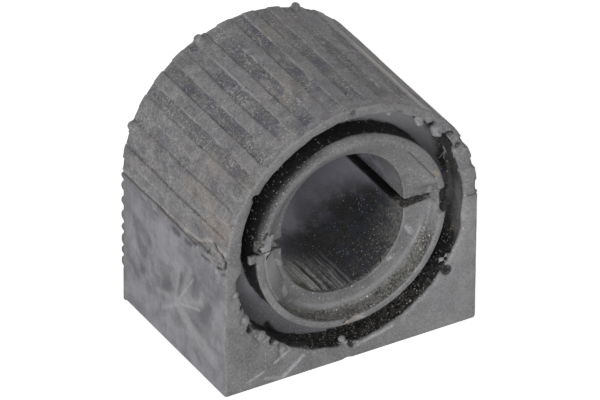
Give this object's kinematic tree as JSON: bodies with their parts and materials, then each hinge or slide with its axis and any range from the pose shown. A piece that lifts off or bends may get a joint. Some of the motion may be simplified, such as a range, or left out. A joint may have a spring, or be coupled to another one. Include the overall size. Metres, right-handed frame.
{
  "type": "sway bar bushing",
  "caption": "Split rubber block with a ribbed half-round back, ring grooves in both ends and a bore that clamps round a sway bar.",
  "frame": {"origin": "centre of the flat base", "axes": "+Y along the bar, +Z from the base to the ribbed back, +X towards the split side"},
  "size_m": [0.0466, 0.0336, 0.0472],
  "materials": {
    "rubber": "matt, dusty, lightly scuffed"
  },
  "bodies": {
    "root": {"bushing": "rubber"}
  },
  "joints": []
}
